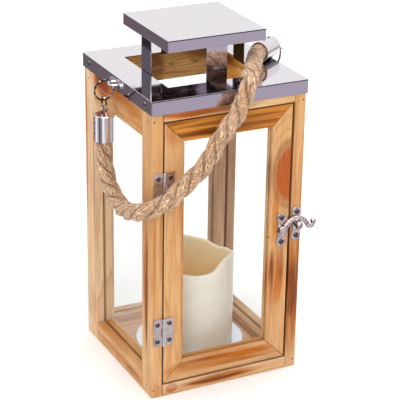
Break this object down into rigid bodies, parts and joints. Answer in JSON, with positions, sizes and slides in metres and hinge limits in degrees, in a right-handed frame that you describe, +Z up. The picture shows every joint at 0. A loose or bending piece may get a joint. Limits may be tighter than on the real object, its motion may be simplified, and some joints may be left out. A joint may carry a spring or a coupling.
{
  "type": "hanging lantern",
  "caption": "Square wooden lantern with glass sides, latched glass door, vented steel roof, rope handle on rings, and an LED candle on a metal plate.",
  "frame": {"origin": "middle of the underside of the base, which stands on the floor", "axes": "+Z up, the door faces -Y, +X is to the right of someone facing the door"},
  "size_m": [0.1799, 0.1622, 0.3071],
  "materials": {
    "pine": "torched and waxed pine, satin",
    "glass": "clear float glass",
    "steel": "plated steel",
    "chrome": "polished",
    "jute": "rough three-strand jute rope",
    "wax": "ivory candle wax",
    "led_shell": "frosted amber",
    "white_plastic": "matte",
    "dark_plastic": "matte",
    "cell_jacket": "printed jacket, no text"
  },
  "bodies": {
    "frame": {"front_left_post": "pine", "front_right_post": "pine", "back_left_post": "pine", "back_right_post": "pine", "left_bottom_rail": "pine", "right_bottom_rail": "pine", "left_top_rail": "pine", "right_top_rail": "pine", "back_bottom_rail": "pine", "back_top_rail": "pine", "front_bottom_rail": "pine", "front_top_rail": "pine", "base_panel": "pine", "left_glass": "glass", "right_glass": "glass", "back_glass": "glass", "upper_hinge_post_leaf": "steel", "upper_hinge_pin": "steel", "lower_hinge_post_leaf": "steel", "lower_hinge_pin": "steel", "catch_plate": "chrome", "catch_stud": "chrome", "roof_collar": "chrome", "roof_cap": "chrome", "front_strap": "chrome", "back_strap": "chrome", "left_strap": "chrome", "right_strap": "chrome", "left_eye_plate": "chrome", "right_eye_plate": "chrome", "left_ring": "chrome", "right_ring": "chrome", "candle_plate": "chrome"},
    "door": {"door_left_stile": "pine", "door_right_stile": "pine", "door_bottom_rail": "pine", "door_top_rail": "pine", "door_glass": "glass", "upper_hinge_door_leaf": "steel", "lower_hinge_door_leaf": "steel", "latch_plate": "chrome", "latch_rivet": "chrome"},
    "latch_arm": {"latch_arm": "chrome"},
    "handle": {"left_ferrule": "chrome", "right_ferrule": "chrome", "left_bail": "chrome", "right_bail": "chrome", "handle_rope": "jute"},
    "candle": {"candle_wax": "wax", "battery_case": "white_plastic", "battery_cover": "white_plastic", "led_post": "white_plastic", "led_flame": "led_shell", "cell_front": "cell_jacket", "cell_middle": "cell_jacket", "cell_back": "cell_jacket"},
    "candle_switch": {"switch_slider": "dark_plastic"}
  },
  "joints": [
    {"name": "door_hinge", "type": "hinge", "parent": "frame", "child": "door", "pos_m": [-0.0597, -0.0721, 0.1305], "axis": [0, 0, -1], "range_deg": [0, 110]},
    {"name": "latch_swing", "type": "hinge", "parent": "door", "child": "latch_arm", "pos_m": [0.0507, -0.0733, 0.136], "axis": [0, -1, 0], "range_deg": [0, 90]},
    {"name": "handle_swing", "type": "hinge", "parent": "frame", "child": "handle", "pos_m": [-0.08158, 0, 0.24907], "axis": [-0.99, -0.0333, -0.1372], "range_deg": [0, 14], "deforming": ["handle_rope"]},
    {"name": "candle_lift", "type": "slide", "parent": "frame", "child": "candle", "axis": [0, 0, 1], "range_m": [0, 0.08]},
    {"name": "candle_switch_slide", "type": "slide", "parent": "candle", "child": "candle_switch", "axis": [1, 0, 0], "range_m": [0, 0.002]}
  ]
}
